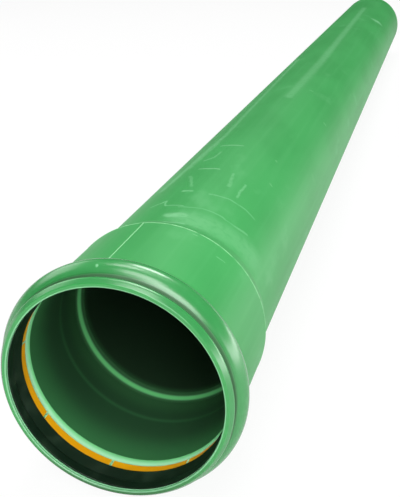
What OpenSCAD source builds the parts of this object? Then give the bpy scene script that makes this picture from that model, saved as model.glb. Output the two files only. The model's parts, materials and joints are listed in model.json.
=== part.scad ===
// Push-fit duct pipe for underground cables: a plain pipe with a seal socket moulded on one end.
// It lies along +X. The origin is on the axis, in the plane where a pipe pushed into the socket stops.

/* [Pipe] */
// Outside diameter of the pipe
pipe_d = 160; // [110:1:200]
// Wall thickness of the pipe
pipe_wall = 4.9; // [4:0.1:7]
// Laying length, from the stop in the socket to the spigot end
laying_length = 2000; // [500:50:6000]
// Length of the chamfer on the spigot end
chamfer_len = 8; // [4:0.5:14]
// Angle between the chamfer and the wall of the pipe
chamfer_angle = 15; // [10:1:18]

/* [Socket] */
// Depth of the socket, from its mouth to the stop
socket_depth = 92; // [75:1:150]
// Radial gap between the socket bore and a pipe pushed into it
socket_gap = 0.75; // [0.6:0.05:1]
// Wall thickness of the socket barrel
socket_wall = 4.2; // [3.8:0.1:7]
// Length of the gentle taper that stops a pipe
stop_len = 27; // [15:1:40]
// Narrowing of the radius along that taper
stop_drop = 1.05; // [0.8:0.05:2]
// Length of the throat, from that taper to the bore of the pipe
throat_len = 9; // [6:1:18]
// Length of the outer shoulder, where the barrel narrows to the pipe
shoulder_len = 18; // [12:1:30]
// Distance from the start of the outer shoulder to the start of the throat
shoulder_lead = 3.5; // [0:0.5:4]

/* [Mouth] */
// Length of the plain rim in front of the seal
rim_len = 2.5; // [2:0.5:4]
// Radial gap between the rim and a pipe pushed in
rim_gap = 0.6; // [0.6:0.1:1.5]
// Width of the flat end face, measured along the radius
face_width = 7.2; // [5.6:0.1:8]
// Radius on the outer edge of the end face
face_round = 3; // [1:0.5:3.5]
// Depth of the recess behind the rim, where the skirt of the seal lies
recess_depth = 1.3; // [1:0.1:1.5]
// Length from the rim to the front flank of the groove
recess_len = 9.2; // [7:0.1:12]
// Thickness from the rim to the crease at the back of the collar
collar_wall = 4.5; // [4:0.1:5]

/* [Seal groove] */
// Depth of the groove below the socket bore
groove_depth = 8; // [6.5:0.1:9]
// Length of the flat floor of the groove
floor_len = 5.6; // [4.5:0.1:12]
// Length of the front flank, from the recess to the floor
front_flank_len = 4.6; // [3:0.1:6]
// Length of the rear flank in front of the retaining ring
flank_lead = 2; // [0.8:0.1:3]
// Radius in the corners of the groove
groove_fillet = 2; // [1:0.5:3]
// Wall thickness of the bead around the groove
bead_wall = 4.1; // [3.5:0.1:6]
// Radius on the edges of the bead
bead_round = 4; // [2:0.5:5]
// Length of the step from the rear flank down to the socket bore
step_len = 4.4; // [3:0.1:5]
// Height of that step
step_height = 3.3; // [2.5:0.1:4]

/* [Seal ring] */
// Radial gap between the sealing lip at rest and a pipe pushed in
lip_gap = 0.45; // [0.4:0.05:0.6]
// Thickness of the sealing lip
lip_thickness = 1.8; // [1.2:0.1:2.4]
// Length of the lip that stands clear of the foot
lip_len = 4.5; // [3:0.5:6]
// Distance from the tip of the lip to the retaining ring
lip_setback = 1; // [0.5:0.1:2]
// Thickness of the foot on the floor of the groove
foot_thickness = 3; // [2:0.1:3.5]
// Thickness of the skirt that covers the recess behind the rim
skirt_thickness = 0.9; // [0.5:0.1:0.9]
// Depth of the channel between the skirt and the lip
channel_depth = 1.4; // [0.8:0.1:2]
// Distance that the seal keeps from the flanks of the groove
seal_clearance = 0.6; // [0.3:0.1:1]

/* [Retaining ring] */
// Width of the ring along the pipe
ring_width = 7; // [4:0.5:9]
// Radial gap between the ring and a pipe pushed in
ring_gap = 1; // [0.8:0.1:1.4]
// Distance from the back of the ring to the edge of the socket bore
ring_setback = 6.5; // [5:0.1:9]
// Distance that the ring keeps from the rear flank of the groove
ring_clearance = 0.2; // [0.1:0.05:0.5]
// Number of slots that part the fingers
slot_count = 8; // [4:1:12]
// Width of one slot
slot_width = 1.8; // [1:0.1:4]
// Depth of one slot from the inner edge of the ring
slot_depth = 2.6; // [1.5:0.1:3]
// Turn of the first slot from the top of the ring
slot_turn = 10; // [0:1:45]

/* [Hidden] */

turn_steps = 180;
arc_steps = 6;
edge_round = 1;

// Radii of the plain pipe
pipe_r = pipe_d / 2;
bore_r = pipe_r - pipe_wall;
chamfer_r = pipe_r - chamfer_len * tan(chamfer_angle);

// Radii of the socket
socket_r = pipe_r + socket_gap;
barrel_r = socket_r + socket_wall;
stop_r = socket_r - stop_drop;
rim_r = pipe_r + rim_gap;
face_r = rim_r + face_width;
collar_r = rim_r + collar_wall;
recess_r = rim_r + recess_depth;
groove_r = socket_r + groove_depth;
step_r = socket_r + step_height;
bead_r = groove_r + bead_wall;

// Stations along the socket, from the mouth to the stop at x = 0
mouth_x = -socket_depth;
rim_x = mouth_x + rim_len;
recess_x = rim_x + recess_depth;
flank_x = rim_x + recess_len;
floor_front_x = flank_x + front_flank_len;
floor_rear_x = floor_front_x + floor_len;
ring_front_x = floor_rear_x + flank_lead;
ring_rear_x = ring_front_x + ring_width;
bore_edge_x = ring_rear_x + ring_setback;
step_x = bore_edge_x - step_len;
shoulder_x = stop_len - shoulder_lead;

// The bead follows the flanks of the groove at the thickness of its wall, and ends at the edge of the bore
front_slope = (groove_r - recess_r) / front_flank_len;
rear_slope = (groove_depth - step_height) / (step_x - floor_rear_x);
bead_front_x = floor_front_x - bead_wall * tan(atan(front_slope) / 2);
bead_rear_x = floor_rear_x + bead_wall * tan(atan(rear_slope) / 2);
collar_x = bead_front_x - (bead_r - collar_r) / front_slope;

// The retaining ring lies on the rear flank of the groove
ring_r = pipe_r + ring_gap;
ring_rear_r = step_r + (step_x - ring_rear_x - ring_clearance) * rear_slope;
ring_front_r = ring_rear_r + ring_width * rear_slope;

// The seal lies in the recess and the groove, and its lip leans back against the ring
foot_r = groove_r - foot_thickness;
skirt_r = recess_r - skirt_thickness;
skirt_x = recess_x + seal_clearance;
lip_r = pipe_r + lip_gap;
lip_x = ring_front_x - lip_setback;

function unit(v) = v / norm(v);
function turned_by(v, a) = [v[0] * cos(a) - v[1] * sin(a), v[0] * sin(a) + v[1] * cos(a)];

// Arc that replaces one corner of an outline, tangent to both of its sides
function corner_arc(before, corner, after) =
    let (
        p = [corner[0], corner[1]],
        u = unit([before[0], before[1]] - p),
        v = unit([after[0], after[1]] - p),
        half = acos(u * v) / 2,
        centre = p + unit(u + v) * corner[2] / sin(half),
        start = p + u * corner[2] / tan(half) - centre,
        turn = sign(u[0] * v[1] - u[1] * v[0]) * (2 * half - 180)
    )
    [for (i = [0:arc_steps]) centre + turned_by(start, i * turn / arc_steps)];

// Outline with its corners rounded: each corner is [x, radius from the axis, rounding]
function rounded(corners) =
    let (n = len(corners))
    [for (i = [0:n - 1])
        each corners[i][2] == 0
            ? [[corners[i][0], corners[i][1]]]
            : corner_arc(corners[(i + n - 1) % n], corners[i], corners[(i + 1) % n])];

// Solid of revolution about the X axis
module turned(corners) {
    rotate([0, 90, 0])
        rotate_extrude($fn = turn_steps)
            polygon([for (p = rounded(corners)) [p[1], p[0]]]);
}

module pipe() {
    color("mediumseagreen")
        turned([
            // Outside, from the mouth to the spigot end
            [mouth_x, face_r, face_round],
            [collar_x, collar_r, edge_round / 2],
            [bead_front_x, bead_r, bead_round],
            [bead_rear_x, bead_r, bead_round],
            [bore_edge_x, barrel_r, edge_round],
            [shoulder_x, barrel_r, bead_round],
            [shoulder_x + shoulder_len, pipe_r, 6 * bead_round],
            [laying_length - chamfer_len, pipe_r, 0],
            [laying_length, chamfer_r, 0],
            // Inside, from the spigot end back to the stop
            [laying_length, bore_r, 0],
            [stop_len + throat_len, bore_r, 2 * edge_round],
            [stop_len, stop_r, 3 * edge_round],
            [0, socket_r, 0],
            // Groove, recess and rim
            [bore_edge_x, socket_r, edge_round],
            [step_x, step_r, edge_round],
            [floor_rear_x, groove_r, groove_fillet],
            [floor_front_x, groove_r, groove_fillet],
            [flank_x, recess_r, edge_round],
            [recess_x, recess_r, 0],
            [rim_x, rim_r, edge_round / 2],
            [mouth_x, rim_r, edge_round],
        ]);
}

module seal_ring() {
    color("#141a17")
        turned([
            // Foot, along the floor of the groove
            [floor_front_x + seal_clearance, groove_r, groove_fillet],
            [floor_rear_x, groove_r, groove_fillet],
            [ring_front_x, ring_front_r, 0],
            [ring_front_x, foot_r, 0],
            // Hollow behind the lip
            [lip_x - lip_len, foot_r, edge_round],
            [lip_x, lip_r + lip_thickness, edge_round / 2],
            // Lip, from its tip forward to the channel
            [lip_x, lip_r, edge_round / 2],
            [flank_x + 2 * seal_clearance, skirt_r + channel_depth, edge_round],
            // Skirt, from the channel to the rim and back along the recess
            [flank_x, skirt_r, edge_round],
            [skirt_x, skirt_r, edge_round / 4],
            [skirt_x, recess_r, 0],
            [flank_x + seal_clearance, recess_r, 0],
        ]);
}

module retaining_ring() {
    color("orange")
        difference() {
            turned([
                [ring_front_x, ring_r, edge_round / 2],
                [ring_front_x, ring_front_r, 0],
                [ring_rear_x, ring_rear_r, 0],
                [ring_rear_x, ring_r, edge_round / 2],
            ]);
            for (i = [0:slot_count - 1])
                rotate([slot_turn + i * 360 / slot_count, 0, 0])
                    translate([ring_front_x - edge_round, -slot_width / 2, pipe_r])
                        cube([ring_width + 2 * edge_round, slot_width, ring_gap + slot_depth]);
        }
}

pipe();
seal_ring();
retaining_ring();
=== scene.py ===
import json
from math import atan, atan2, hypot, pi, radians, tan

import bmesh
import bpy
from mathutils import Matrix, Vector


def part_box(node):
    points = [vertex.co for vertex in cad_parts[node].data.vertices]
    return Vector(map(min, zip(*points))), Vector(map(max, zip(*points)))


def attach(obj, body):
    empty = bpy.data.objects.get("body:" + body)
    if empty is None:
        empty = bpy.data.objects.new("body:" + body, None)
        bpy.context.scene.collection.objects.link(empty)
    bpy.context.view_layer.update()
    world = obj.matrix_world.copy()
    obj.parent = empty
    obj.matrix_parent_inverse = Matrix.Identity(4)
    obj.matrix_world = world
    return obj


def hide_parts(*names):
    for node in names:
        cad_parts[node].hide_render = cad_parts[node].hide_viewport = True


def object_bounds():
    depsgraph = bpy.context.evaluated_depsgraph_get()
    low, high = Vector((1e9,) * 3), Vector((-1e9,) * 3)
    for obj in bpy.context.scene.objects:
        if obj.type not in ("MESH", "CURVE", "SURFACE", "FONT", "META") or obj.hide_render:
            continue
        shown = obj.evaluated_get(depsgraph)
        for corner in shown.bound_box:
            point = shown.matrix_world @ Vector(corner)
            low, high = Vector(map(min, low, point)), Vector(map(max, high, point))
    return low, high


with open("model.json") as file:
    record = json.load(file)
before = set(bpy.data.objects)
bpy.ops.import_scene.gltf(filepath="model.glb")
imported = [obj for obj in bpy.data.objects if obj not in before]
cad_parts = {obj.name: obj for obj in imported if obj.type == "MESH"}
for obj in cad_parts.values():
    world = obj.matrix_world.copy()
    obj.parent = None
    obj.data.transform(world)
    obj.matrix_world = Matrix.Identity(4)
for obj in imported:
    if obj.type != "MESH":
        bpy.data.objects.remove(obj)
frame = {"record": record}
cad_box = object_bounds()

# Camera. It stands in front of the socket, above the pipe and a little to its right,
# and looks down into the mouth and along the whole length.
mm = 0.001
mouth_x = cad_box[0].x
eye_ahead = 450.9 * mm
eye_right = 190.1 * mm
eye_height = 307.9 * mm
camera = bpy.data.objects.new("camera", bpy.data.cameras.new("camera"))
camera.data.lens = 59.29
camera.data.clip_start = 10 * mm
camera.location = (mouth_x - eye_ahead, -eye_right, eye_height)
camera.rotation_euler = (radians(67.73), 0, radians(-74.31))
bpy.context.scene.collection.objects.link(camera)
bpy.context.scene.camera = camera

# The pipe. One length of green polypropylene: the plain pipe is extruded, and the socket, with its
# bead for the seal, is formed on one end while the plastic is hot, in a mould of two halves.
radius = {mount["name"]: mount["dims"]["r_mm"] * mm for mount in frame["record"]["mounts"]}
pipe_r = radius["spigot"]
bore_r = radius["duct_bore"]
socket_r = radius["socket_bore"]
seal_low, seal_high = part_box("seal_ring")
ring_low, ring_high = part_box("retaining_ring")
spigot_x = cad_box[1].x
touching = 0.01 * mm
welding = 0.001 * mm
sharp_edge = radians(30)

# Sizes of the bead, its groove and the collar at the mouth.
groove_r = socket_r + 8 * mm
bead_wall = 4.1 * mm
bead_r = groove_r + bead_wall
bead_rounding = 10 * mm
step_r = socket_r + 3.3 * mm
rim_r = pipe_r + 0.6 * mm
face_r = rim_r + 7.2 * mm
collar_r = face_r - 0.8 * mm
face_edge_r = face_r - 3.9 * mm
bevel_len = 3.6 * mm
crease_r = rim_r + 4.5 * mm
crease_floor_r = crease_r - 0.5 * mm
recess_r = rim_r + 1.3 * mm
rim_x = mouth_x + 2.5 * mm
recess_x = rim_x + 1.3 * mm
flank_x = rim_x + 9.2 * mm
floor_front_x = flank_x + 4.6 * mm
floor_rear_x = ring_low.x - 2 * mm
bore_edge_x = ring_high.x + 6.5 * mm
step_x = bore_edge_x - 4.4 * mm
front_slope = (groove_r - recess_r) / (floor_front_x - flank_x)
rear_slope = (groove_r - step_r) / (step_x - floor_rear_x)
bead_front_x = floor_front_x - bead_wall * tan(atan(front_slope) / 2)
bead_rear_x = floor_rear_x + bead_wall * tan(atan(rear_slope) / 2)
crease_x = bead_front_x - (bead_r - crease_r) / front_slope

# Sizes of the barrel, the shoulder, the throat inside it and the spigot end.
barrel_r = socket_r + 4.2 * mm
line_r = barrel_r + 0.2 * mm
throat_x = 27 * mm
throat_end_x = throat_x + 9 * mm
stop_r = socket_r - 1.05 * mm
shoulder_x = throat_x - 3.5 * mm
shoulder_end_x = shoulder_x + 18 * mm
shoulder_rounding = 24 * mm
chamfer_len = 8 * mm
chamfer_slope = radians(15)
chamfer_r = pipe_r - chamfer_len * tan(chamfer_slope)


def all_of(bm):
    return list(bm.verts) + list(bm.edges) + list(bm.faces)


def from_x_axis(vert):
    return hypot(vert.co.y, vert.co.z)


def turned(corners, steps=360):
    """A closed outline of (x, radius, rounding) corners, rounded and spun about the X axis."""
    bm = bmesh.new()
    points = [Vector((x, 0, r)) for x, r, rounding in corners]
    verts = [bm.verts.new(point) for point in points]
    bm.faces.new(verts)
    for i, vert in enumerate(verts):
        rounding = corners[i][2]
        if rounding:
            before = points[i - 1] - points[i]
            after = points[(i + 1) % len(points)] - points[i]
            reach = rounding / tan(before.angle(after) / 2)
            bmesh.ops.bevel(bm, geom=[vert], offset=reach, offset_type="OFFSET", profile=0.5,
                            segments=max(4, round(rounding / mm)), affect="VERTICES", material=-1)
    bmesh.ops.delete(bm, geom=list(bm.faces), context="FACES_ONLY")
    bmesh.ops.spin(bm, geom=all_of(bm), cent=(0, 0, 0), axis=(1, 0, 0), angle=2 * pi, steps=steps,
                   use_merge=True)
    bmesh.ops.remove_doubles(bm, verts=list(bm.verts), dist=welding)
    bmesh.ops.recalc_face_normals(bm, faces=list(bm.faces))
    return bm


def finished(bm, name, material, node):
    """The mesh as an object that stands for a CAD node, shaded smooth except at its sharp edges."""
    for face in bm.faces:
        face.smooth = True
    for edge in bm.edges:
        if edge.is_manifold and edge.calc_face_angle() > sharp_edge:
            edge.smooth = False
    mesh = bpy.data.meshes.new(name)
    bm.to_mesh(mesh)
    bm.free()
    piece = bpy.data.objects.new(name, mesh)
    bpy.context.scene.collection.objects.link(piece)
    mesh.materials.append(material)
    even = piece.modifiers.new("even_shading", "WEIGHTED_NORMAL")
    even.keep_sharp = True
    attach(piece, "root")
    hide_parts(node)


pipe_mesh = turned([
    (mouth_x, face_edge_r, 1 * mm),
    (mouth_x + bevel_len, collar_r, 2.6 * mm),
    (crease_x - 1.2 * mm, crease_r + 0.3 * mm, 0.4 * mm),
    (crease_x - 0.7 * mm, crease_floor_r, 0.3 * mm),
    (crease_x, crease_floor_r, 0.3 * mm),
    (bead_front_x, bead_r, bead_rounding),
    (bead_rear_x, bead_r, bead_rounding),
    (bore_edge_x, barrel_r, 1 * mm),
    (shoulder_x - 0.9 * mm, barrel_r, 0),
    (shoulder_x - 0.5 * mm, line_r, 0),
    (shoulder_x, line_r, 0.3 * mm),
    (shoulder_x + 1 * mm, barrel_r - 0.5 * mm, 0),
    (shoulder_end_x, pipe_r, shoulder_rounding),
    (spigot_x - chamfer_len, pipe_r, 0),
    (spigot_x, chamfer_r, 0),
    (spigot_x, bore_r, 0),
    (throat_end_x, bore_r, 2 * mm),
    (throat_x, stop_r, 3 * mm),
    (0, socket_r, 0),
    (bore_edge_x, socket_r, 1 * mm),
    (step_x, step_r, 1 * mm),
    (floor_rear_x, groove_r, 2 * mm),
    (floor_front_x, groove_r, 2 * mm),
    (flank_x, recess_r, 1 * mm),
    (recess_x, recess_r, 0),
    (rim_x, rim_r, 0.5 * mm),
    (mouth_x, rim_r, 1 * mm),
])

# Where the mould halves met, a fine ridge runs along the barrel, near its top and opposite that.
seam_turn = radians(80)
seam_min_len = 20 * mm
ridge_half = 0.45 * mm
ridge_height = 0.3 * mm
for side in (seam_turn, seam_turn - pi):
    seam = []
    for edge in pipe_mesh.edges:
        on_seam = all(abs(atan2(v.co.z, v.co.y) - side) < radians(0.1) for v in edge.verts)
        on_barrel = all(abs(from_x_axis(v) - barrel_r) < touching for v in edge.verts)
        if on_seam and on_barrel and edge.calc_length() > seam_min_len:
            seam.append(edge)
    made = bmesh.ops.bevel(pipe_mesh, geom=seam, offset=ridge_half, offset_type="OFFSET", segments=2,
                           profile=0.5, affect="EDGES", material=-1)
    crest = [v for v in made["verts"] if abs(atan2(v.co.z, v.co.y) - side) < radians(0.05)]
    out = Vector((0, crest[0].co.y, crest[0].co.z)).normalized()
    bmesh.ops.translate(pipe_mesh, verts=crest, vec=out * ridge_height)


def add(tree, kind, inputs=(), **settings):
    """A shader node with its settings made and its inputs set or linked; returns its outputs."""
    node = tree.nodes.new("ShaderNode" + kind)
    for name, value in settings.items():
        setattr(node, name, value)
    for key, value in dict(inputs).items():
        if isinstance(value, bpy.types.NodeSocket):
            tree.links.new(value, node.inputs[key])
        else:
            node.inputs[key].default_value = value
    return node.outputs


def calc(tree, operation, a, b=0.0):
    """One step of arithmetic on numbers or sockets."""
    return add(tree, "Math", {0: a, 1: b}, operation=operation)[0]


def both(tree, mask_a, mask_b):
    """Where both masks hold; one of them may be a plain number that weakens the other."""
    return calc(tree, "MULTIPLY", mask_a, mask_b)


def either(tree, mask_a, mask_b):
    """Where one mask or the other holds, at the stronger of the two."""
    return calc(tree, "MAXIMUM", mask_a, mask_b)


def away_from(tree, value, middle):
    """How far a value is from the middle, on either side."""
    return calc(tree, "ABSOLUTE", calc(tree, "SUBTRACT", value, middle))


def away_from_axis(tree, y, z):
    """How far a place is from the pipe's axis."""
    return calc(tree, "SQRT", calc(tree, "ADD", calc(tree, "POWER", y, 2), calc(tree, "POWER", z, 2)))


def fade(tree, value, low, high, top=1.0):
    """0 at low, changing smoothly to top at high, which may be the smaller of the two."""
    return add(tree, "MapRange", {"Value": value, "From Min": low, "From Max": high, "To Max": top},
               interpolation_type="SMOOTHSTEP")[0]


def span(tree, mask, bottom, top):
    """A value that goes from bottom to top as the mask goes from 0 to 1."""
    return add(tree, "MapRange", {"Value": mask, "To Min": bottom, "To Max": top})[0]


def blend(tree, amount, colour_a, colour_b):
    """The first colour at 0, the second at 1."""
    return add(tree, "Mix", {0: amount, 6: colour_a, 7: colour_b}, data_type="RGBA")[2]


def noise(tree, place, scale, detail):
    return add(tree, "TexNoise", {"Vector": place, "Scale": scale, "Detail": detail})[0]


def stretched_noise(tree, place, stretch, detail):
    """Noise on the unrolled wall: stretch is how many blotches fit in a metre along, and around."""
    return noise(tree, add(tree, "Mapping", {"Vector": place, "Scale": (*stretch, 1)})[0], 1, detail)


def raise_surface(tree, shader, height, strength, depth):
    """Fine relief on the surface, from a height between 0 and 1."""
    bump = add(tree, "Bump", {"Height": height, "Strength": strength, "Distance": depth})[0]
    tree.links.new(bump, shader["Normal"])


def new_material(name):
    """A new material, its node tree and the inputs of its shader."""
    material = bpy.data.materials.new(name)
    material.use_nodes = True
    return material, material.node_tree, material.node_tree.nodes["Principled BSDF"].inputs


green_plastic, tree, shader = new_material("green_polypropylene")
place = add(tree, "TexCoord")["Object"]
x, y, z = add(tree, "SeparateXYZ", {0: place})
around = calc(tree, "MULTIPLY", calc(tree, "ARCTAN2", y, z), pipe_r)
from_axis = away_from_axis(tree, y, z)
unrolled = add(tree, "CombineXYZ", {0: x, 1: around, 2: from_axis})[0]

leaf = (0.050, 0.325, 0.088, 1)
shade_leaf = (0.041, 0.292, 0.075, 1)
pale_leaf = (0.120, 0.43, 0.170, 1)
dense_leaf = (0.028, 0.210, 0.055, 1)
scuffed_leaf = (0.180, 0.50, 0.235, 1)
crest_highlight_green = (0.30, 0.66, 0.34, 1)
crease_shade_green = (0.008, 0.08, 0.015, 1)
blotches = fade(tree, stretched_noise(tree, unrolled, (6, 14), 3), 0.35, 0.65)
colour = blend(tree, blotches, shade_leaf, leaf)
streaks = fade(tree, stretched_noise(tree, unrolled, (3, 150), 2), 0.45, 0.75, 0.12)
colour = blend(tree, streaks, colour, pale_leaf)
rubbed = fade(tree, stretched_noise(tree, unrolled, (14, 26), 5), 0.58, 0.74, 0.35)
colour = blend(tree, rubbed, colour, pale_leaf)

# The bead and the collar are smoother than the rest, and denser in colour.
polished = fade(tree, x, bore_edge_x, bead_rear_x)
colour = blend(tree, both(tree, polished, 0.5), colour, dense_leaf)

# Scratches and scuffs from handling. Each runs between two places on the wall, which are given by
# their distance from the stop in millimetres and their turn from the top in degrees. Then come half
# its width in millimetres and how strongly it shows, up to 1.
scratches = [
    ((282, 13), (282, -4), 2.2, 0.9), ((255, 8), (235, 9), 2.0, 0.5),
    ((235, 9), (225, 15), 2.0, 0.6), ((193, 12), (192, -2), 2.0, 0.9),
    ((170, 14), (135, 6), 2.6, 0.35), ((121, 8), (121, 3), 2.8, 0.9),
    ((119, -9), (124, -22), 1.8, 0.5), ((124, -22), (122, -36), 1.8, 0.45),
    ((122, -36), (119, -42), 2, 0.4), ((85, 22), (90, 16), 1.6, 0.7),
    ((90, 16), (95, 14), 1.4, 0.8), ((95, 14), (81, 11), 1.4, 0.6),
    ((81, 11), (81, 0), 1.4, 0.8), ((77, 2), (82, -10), 1.4, 0.45),
    ((82, -10), (83, -22), 1.4, 0.45), ((83, -22), (80, -34), 1.6, 0.45),
    ((80, -34), (84, -43), 2.6, 0.5), ((172, -25), (135, -25), 2, 0.45),
    ((187, -13), (152, -16), 2.4, 0.4), ((213, -38), (211, -40), 2.2, 0.6),
    ((277, -32), (275, -33), 2, 0.5), ((18, -18.5), (19, -20.5), 1.2, 0.7),
    ((5, -36), (6, -40), 1, 0.6), ((-78.7, 8), (-78, 8.2), 1.4, 1),
    ((56, 2), (59, -4), 9, 0.8), ((36, 1), (41, -8), 4, 0.8),
    ((52, -8), (62, -48), 26, 0.35), ((1706, -3), (847, -8), 9, 0.4),
    ((847, -8), (544, -6), 9, 0.35), ((1547, -32), (1571, -44), 14, 0.8),
    ((617, -20), (617, -22), 3.5, 0.5), ((522, -50), (522, -51), 3.5, 0.5),
    ((900, 27), (339, 20), 5, 0.4), ((339, 20), (142, 29), 6, 0.45),
    ((296, 19), (205, 23), 3.5, 0.3),
]
wander = 5 * mm
wobble = add(tree, "TexNoise", {"Vector": unrolled, "Scale": 90, "Detail": 3})[1]
wobble = add(tree, "VectorMath", {0: wobble, 1: (0.5, 0.5, 0.5)}, operation="SUBTRACT")[0]
wall = add(tree, "CombineXYZ", {0: x, 1: around})[0]
wall = add(tree, "VectorMath", {0: wobble, 1: (wander, wander, 0), 2: wall},
           operation="MULTIPLY_ADD")[0]


def scratch(start, end, half_width, strength):
    """How strongly one scratch shows at a place on the wall; its middle fifth shows in full."""
    start, end = [Vector((along * mm, radians(turn) * pipe_r, 0)) for along, turn in (start, end)]
    run = end - start
    apart = add(tree, "VectorMath", {0: wall, 1: start}, operation="SUBTRACT")[0]
    share = add(tree, "VectorMath", {0: apart, 1: run / run.length_squared},
                operation="DOT_PRODUCT")["Value"]
    share = add(tree, "Clamp", {"Value": share})[0]
    reached = add(tree, "VectorMath", {0: run, "Scale": share}, operation="SCALE")[0]
    gap = add(tree, "VectorMath", {0: apart, 1: reached}, operation="DISTANCE")["Value"]
    return fade(tree, gap, half_width * mm, 0.2 * half_width * mm, strength)


scuffed = scratch(*scratches[0])
for stroke in scratches[1:]:
    scuffed = either(tree, scuffed, scratch(*stroke))
broken = fade(tree, stretched_noise(tree, unrolled, (160, 160), 3), 0.25, 0.55)
scuffed = both(tree, scuffed, span(tree, broken, 0.5, 1))
colour = blend(tree, scuffed, colour, scuffed_leaf)

# Painted highlights: the crests of the upper parting ridge and of the raised line at the shoulder are
# painted pale, standing in for the light they catch.
crest_edge = 0.8 * mm
crest_half = 0.3 * mm
from_seam = away_from(tree, around, (pi / 2 - seam_turn) * pipe_r)
from_line = away_from(tree, x, shoulder_x - 0.3 * mm)
along_barrel = both(tree, calc(tree, "GREATER_THAN", x, bore_edge_x),
                    calc(tree, "LESS_THAN", x, shoulder_x))
ridge_highlight = both(tree, fade(tree, from_seam, crest_edge, crest_half, 0.7), along_barrel)
line_highlight = both(tree, fade(tree, from_line, crest_edge, crest_half, 0.7), broken)
colour = blend(tree, either(tree, ridge_highlight, line_highlight), colour, crest_highlight_green)

# Painted shade: the crease behind the collar is painted dark, standing in for the shade that falls in
# it.
crease_shade = fade(tree, away_from(tree, x, crease_x - 0.2 * mm), 2.2 * mm, 0.8 * mm, 0.9)
colour = blend(tree, crease_shade, colour, crease_shade_green)

# Painted shade: inside it is the same plastic, but its greens are set darker than the outside's, by
# up to six times, standing in for the shade in the depth of the bore. They are darkest past the socket
# and lighter at the spigot end. The edges of the stop and of the throat are painted paler, as
# highlights.
shaded_mouth_green = (0.041, 0.186, 0.063, 1)
shaded_socket_green = (0.024, 0.085, 0.035, 1)
shaded_taper_green = (0.037, 0.134, 0.050, 1)
shaded_deep_green = (0.020, 0.052, 0.024, 1)
end_bore_green = (0.045, 0.27, 0.080, 1)
edge_highlight_green = (0.16, 0.66, 0.23, 1)
half_wall = 2 * mm
wall_middle = add(tree, "MapRange", {"Value": x, "From Min": throat_x, "From Max": shoulder_end_x,
                                     "To Min": socket_r + half_wall, "To Max": bore_r + half_wall})[0]
inside = both(tree, calc(tree, "LESS_THAN", from_axis, wall_middle),
              fade(tree, x, rim_x, rim_x + 1 * mm))
shaded_bore_colour = shaded_mouth_green
for start, end, next_green in (
        (bore_edge_x, -15 * mm, shaded_socket_green),
        (5 * mm, 24 * mm, shaded_taper_green),
        (throat_end_x, throat_end_x + 8 * mm, shaded_deep_green),
        (spigot_x - 600 * mm, spigot_x - 100 * mm, end_bore_green)):
    shaded_bore_colour = blend(tree, fade(tree, x, start, end), shaded_bore_colour, next_green)
# Painted highlights: the rings at the throat and at the stop are painted pale, standing in for the
# light they catch.
throat_highlight = both(tree, fade(tree, x, throat_x + 1.2 * mm, throat_x + 3.2 * mm),
                 fade(tree, x, throat_end_x - 2.2 * mm, throat_end_x - 4.2 * mm))
stop_highlight = fade(tree, away_from(tree, x, 0), 3.5 * mm, 0, 0.10)
shaded_bore_colour = blend(tree, either(tree, throat_highlight, stop_highlight), shaded_bore_colour, edge_highlight_green)
colour = blend(tree, inside, colour, shaded_bore_colour)

# Painted highlight: the step behind the retaining ring is painted pale, palest next to the ring,
# standing in for the light that it catches.
dim_step_highlight_green = (0.16, 0.60, 0.23, 1)
step_highlight_green = (0.38, 0.80, 0.49, 1)
step_highlight = both(tree, fade(tree, x, step_x - 2 * mm, step_x),
                 fade(tree, x, bore_edge_x + 0.8 * mm, bore_edge_x))
step_highlight = both(tree, step_highlight, fade(tree, from_axis, barrel_r, step_r + 0.2 * mm))
step_highlight_colour = blend(tree, fade(tree, x, bore_edge_x, step_x + 1.5 * mm), dim_step_highlight_green, step_highlight_green)
colour = blend(tree, step_highlight, colour, step_highlight_colour)

# Painted light and shade on the front face of the rim: it is painted a brighter green, standing in for
# the light on it, and darker towards the bottom, standing in for shade. Its edges are painted pale, as
# highlights.
lit_face_green = (0.030, 0.305, 0.066, 1)
shaded_low_face_green = (0.007, 0.125, 0.019, 1)
rim_edge_highlight_green = (0.34, 0.78, 0.44, 1)
on_face = fade(tree, x, mouth_x + 0.5 * mm, mouth_x + 0.2 * mm)
shade_toward_bottom = fade(tree, z, -0.4 * face_r, -face_r)
colour = blend(tree, on_face, colour, blend(tree, shade_toward_bottom, lit_face_green, shaded_low_face_green))
# Painted highlights: pale lines along the inner edge and the front edge of the rim stand in for the
# light these edges catch.
inner_edge_highlight = both(tree, fade(tree, x, rim_x - 1.7 * mm, rim_x - 1 * mm),
                  fade(tree, x, rim_x + 0.5 * mm, rim_x))
inner_edge_highlight = both(tree, inner_edge_highlight, calc(tree, "LESS_THAN", from_axis, rim_r + 0.6 * mm))
front_edge_highlight = both(tree, fade(tree, x, mouth_x + 0.8 * mm, mouth_x + 0.4 * mm, 0.5),
                  fade(tree, from_axis, rim_r + 1.3 * mm, rim_r + 0.9 * mm))
colour = blend(tree, either(tree, inner_edge_highlight, front_edge_highlight), colour, rim_edge_highlight_green)
tree.links.new(colour, shader["Base Color"])

roughness = either(tree, span(tree, polished, 0.48, 0.25),
                   both(tree, either(tree, step_highlight, crease_shade), 0.75))
tree.links.new(roughness, shader["Roughness"])
shader["IOR"].default_value = 1.49
tree.links.new(span(tree, polished, 0.28, 0.85), shader["Specular IOR Level"])
grain = noise(tree, place, 700, 3)
draw_lines = stretched_noise(tree, unrolled, (2, 900), 2)
relief = calc(tree, "ADD", calc(tree, "MULTIPLY", grain, 0.4), draw_lines)
raise_surface(tree, shader, relief, 0.12, 0.2 * mm)

finished(pipe_mesh, "duct_pipe", green_plastic, "pipe")

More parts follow.
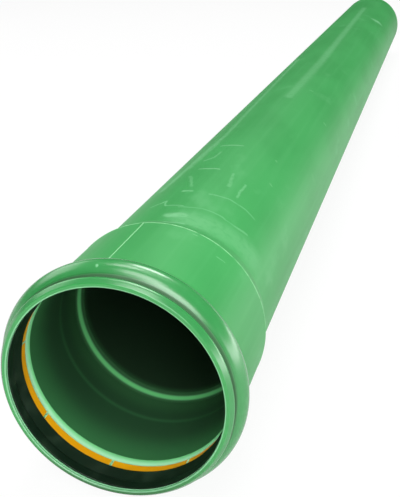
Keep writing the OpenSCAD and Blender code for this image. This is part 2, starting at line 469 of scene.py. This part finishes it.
# The seal. One moulded ring of black rubber, snapped into the bead before the retaining ring: a foot
# on the floor of the groove, a skirt under the rim, and a lip that leans back. The lip has its free
# shape, and a pipe that is pushed in squeezes it outward.
ring_rear_r = step_r + (step_x - ring_high.x - 0.2 * mm) * rear_slope
ring_front_r = ring_rear_r + (ring_high.x - ring_low.x) * rear_slope
lip_x = ring_low.x - 1 * mm
lip_r = pipe_r - 0.4 * mm
lip_wall = 1.8 * mm
lip_hollow = 4.5 * mm
foot_r = groove_r - 3 * mm
skirt_r = recess_r - 0.9 * mm
seal_mesh = turned([
    (floor_front_x + 0.6 * mm, groove_r, 2 * mm),
    (floor_rear_x, groove_r, 2 * mm),
    (seal_high.x, ring_front_r, 0),
    (seal_high.x, foot_r, 0),
    (lip_x - lip_hollow, foot_r, 1 * mm),
    (lip_x, lip_r + lip_wall, 0.5 * mm),
    (lip_x, lip_r, 0.5 * mm),
    (flank_x + 1.2 * mm, skirt_r + 1.4 * mm, 1 * mm),
    (flank_x, skirt_r, 1 * mm),
    (seal_low.x, skirt_r, 0.25 * mm),
    (seal_low.x, recess_r, 0),
    (flank_x + 0.6 * mm, recess_r, 0),
])

black_rubber, tree, shader = new_material("black_rubber")
place = add(tree, "TexCoord")["Object"]
fresh_rubber = (0.006, 0.018, 0.009, 1)
bloomed_rubber = (0.012, 0.032, 0.016, 1)
bloom = fade(tree, noise(tree, place, 60, 4), 0.45, 0.7)
tree.links.new(blend(tree, bloom, fresh_rubber, bloomed_rubber), shader["Base Color"])
tree.links.new(span(tree, bloom, 0.34, 0.52), shader["Roughness"])
raise_surface(tree, shader, noise(tree, place, 900, 2), 0.15, 0.1 * mm)

finished(seal_mesh, "lip_seal", black_rubber, "seal_ring")

# The retaining ring. A stiff ring of yellow-orange polypropylene, pressed in behind the seal to hold
# it down. Slots part its inner edge into fingers, so that it flexes as it is snapped in.
slot_count = 8
slot_width = 1.8 * mm
slot_depth = 2.6 * mm
slot_turn = radians(10)
ring_r = pipe_r + 1 * mm
slot_floor_r = ring_r + slot_depth
slot_angle = slot_width / ring_r
finger_angle = 2 * pi / slot_count - slot_angle


def in_hoop(face):
    """Whether a face belongs to the hoop outside the slots."""
    return min(from_x_axis(v) for v in face.verts) > slot_floor_r - touching


# The profile of the finger and the hoop above it is spun over one finger, then the hoop alone over
# one slot, and the two are repeated around.
ring_mesh = bmesh.new()
finger = [ring_mesh.verts.new((x, 0, r)) for x, r in (
    (ring_low.x, slot_floor_r),
    (ring_low.x, ring_r),
    (ring_high.x, ring_r),
    (ring_high.x, slot_floor_r))]
hoop = [ring_mesh.verts.new((x, 0, r)) for x, r in (
    (ring_high.x, ring_rear_r),
    (ring_low.x, ring_front_r))]
ring_mesh.faces.new(finger)
ring_mesh.faces.new([finger[3], hoop[0], hoop[1], finger[0]])
for vert in finger[1:3]:
    bmesh.ops.bevel(ring_mesh, geom=[vert], offset=0.5 * mm, offset_type="OFFSET", segments=4,
                    profile=0.5, affect="VERTICES", material=-1)
made = bmesh.ops.spin(ring_mesh, geom=all_of(ring_mesh), cent=(0, 0, 0), axis=(1, 0, 0),
                      angle=-finger_angle, steps=40)
hoop_end = [f for f in made["geom_last"] if isinstance(f, bmesh.types.BMFace) and in_hoop(f)]
hoop_start = [f for f in ring_mesh.faces if all(abs(v.co.y) < touching for v in f.verts) and in_hoop(f)]
over_slot = hoop_end + [e for f in hoop_end for e in f.edges] + [v for f in hoop_end for v in f.verts]
made = bmesh.ops.spin(ring_mesh, geom=list(dict.fromkeys(over_slot)), cent=(0, 0, 0), axis=(1, 0, 0),
                      angle=-slot_angle, steps=2)
slot_end = [f for f in made["geom_last"] if isinstance(f, bmesh.types.BMFace)]
bmesh.ops.delete(ring_mesh, geom=hoop_start + slot_end, context="FACES_ONLY")
bmesh.ops.spin(ring_mesh, geom=all_of(ring_mesh), cent=(0, 0, 0), axis=(1, 0, 0),
               angle=2 * pi * (slot_count - 1) / slot_count, steps=slot_count - 1, use_duplicate=True)
bmesh.ops.remove_doubles(ring_mesh, verts=list(ring_mesh.verts), dist=touching)
bmesh.ops.recalc_face_normals(ring_mesh, faces=list(ring_mesh.faces))
bmesh.ops.rotate(ring_mesh, verts=list(ring_mesh.verts), cent=(0, 0, 0),
                 matrix=Matrix.Rotation(slot_turn - slot_angle / 2, 3, "X"))

# Painted highlight: the floors of the slots are painted the pale green of the lit step behind the
# ring, which shows through the slots of a real ring.
orange_plastic, tree, shader = new_material("orange_polypropylene")
place = add(tree, "TexCoord")["Object"]
orange = (0.97, 0.43, 0.003, 1)
pale_orange = (1.0, 0.49, 0.006, 1)
slot_floor_highlight_green = (0.55, 0.92, 0.62, 1)
colour = blend(tree, fade(tree, noise(tree, place, 35, 3), 0.35, 0.65), orange, pale_orange)
x, y, z = add(tree, "SeparateXYZ", {0: place})
turn = calc(tree, "SUBTRACT", calc(tree, "ARCTAN2", z, y), slot_turn)
from_slot = calc(tree, "PINGPONG", turn, pi / slot_count)
slot_floor_highlight = both(tree, calc(tree, "LESS_THAN", from_slot, 0.55 * slot_angle),
               calc(tree, "LESS_THAN", away_from_axis(tree, y, z), slot_floor_r + 0.2 * mm))
tree.links.new(blend(tree, slot_floor_highlight, colour, slot_floor_highlight_green), shader["Base Color"])
shader["Roughness"].default_value = 0.42
raise_surface(tree, shader, noise(tree, place, 800, 2), 0.1, 0.1 * mm)

finished(ring_mesh, "slotted_ring", orange_plastic, "retaining_ring")

# Floor. A plain white studio floor. The pipe rests on its bead and on the end of the spigot,
# so the floor is laid along the line between the two.
floor_reach = 14
bead_mid_x = (bead_front_x + bead_rear_x) / 2
lean = atan((bead_r - pipe_r) / (spigot_x - chamfer_len - bead_mid_x))
floor_mesh = bmesh.new()
bmesh.ops.create_grid(floor_mesh, x_segments=1, y_segments=1, size=floor_reach)
bmesh.ops.rotate(floor_mesh, verts=list(floor_mesh.verts), cent=(0, 0, 0),
                 matrix=Matrix.Rotation(-lean, 3, "Y"))
bmesh.ops.translate(floor_mesh, verts=list(floor_mesh.verts),
                    vec=(0, 0, -bead_r - bead_mid_x * tan(lean)))
floor_data = bpy.data.meshes.new("floor")
floor_mesh.to_mesh(floor_data)
floor_mesh.free()
floor = bpy.data.objects.new("floor", floor_data)
bpy.context.scene.collection.objects.link(floor)
white_floor, tree, shader = new_material("white_floor")
shader["Roughness"].default_value = 0.9
ray = add(tree, "LightPath")
tree.links.new(span(tree, ray["Is Camera Ray"], 0.7, 0.95), shader["Base Color"])
seen = either(tree, ray["Is Camera Ray"], ray["Is Glossy Ray"])
seen = either(tree, seen, ray["Is Transmission Ray"])
lit = tree.nodes["Principled BSDF"].outputs[0]
white = add(tree, "Emission", {"Color": (1, 1, 1, 1), "Strength": 1})[0]
mixed = add(tree, "MixShader", {0: both(tree, seen, 0.93), 1: lit, 2: white})[0]
tree.links.new(mixed, tree.nodes["Material Output"].inputs["Surface"])
floor_data.materials.append(white_floor)

# Light. A dim room that looks white behind the floor, and seven soft lamps: three above, over the
# middle, the socket and the far end; two ahead of the mouth, which reach into it; and a long one on
# each side, for the pale edges.
world = bpy.data.worlds.new("pale_room")
world.use_nodes = True
tree = world.node_tree
room = tree.nodes["Background"]
room.inputs["Color"].default_value = (0.05, 0.05, 0.05, 1)
white = add(tree, "Background", {"Color": (1, 1, 1, 1), "Strength": 1})[0]
ray = add(tree, "LightPath")
mixed = add(tree, "MixShader", {0: ray["Is Camera Ray"], 1: room.outputs[0], 2: white})[0]
tree.links.new(mixed, tree.nodes["World Output"].inputs["Surface"])
bpy.context.scene.world = world


def soft_lamp(name, location, target, width, height, power):
    """A rectangular lamp that faces its target; places and sizes in metres, power in watts."""
    lamp = bpy.data.lights.new(name, "AREA")
    lamp.shape = "RECTANGLE"
    lamp.size = width
    lamp.size_y = height
    lamp.energy = power
    holder = bpy.data.objects.new(name, lamp)
    holder.location = location
    holder.rotation_euler = (Vector(target) - Vector(location)).to_track_quat("-Z", "Y").to_euler()
    bpy.context.scene.collection.objects.link(holder)


soft_lamp("lamp_sky", (1.1, -0.2, 3.5), (1.1, -0.2, 0), 3.0, 2.0, 26)
soft_lamp("lamp_near", (mouth_x + 0.22, 0.25, 1.3), (mouth_x + 0.22, 0.25, 0), 0.16, 0.55, 2.8)
soft_lamp("lamp_high", (mouth_x - 0.8, -0.05, 1.3), (mouth_x, 0, 0), 0.8, 0.8, 12.3)
soft_lamp("lamp_front", (mouth_x - 1.2, -0.4, 0.75), (mouth_x, 0, 0), 0.8, 0.8, 13)
soft_lamp("lamp_far", (1.8, -0.1, 2.6), (1.8, -0.1, 0), 1.0, 1.2, 50)
soft_lamp("lamp_right", (0.7, -1.7, 0.12), (0.7, 0, 0), 3.8, 0.4, 28)
soft_lamp("lamp_left", (0.9, 1.9, 1.1), (0.9, 0, 0), 2.4, 1.0, 16)

bpy.context.scene.view_settings.view_transform = "Standard"
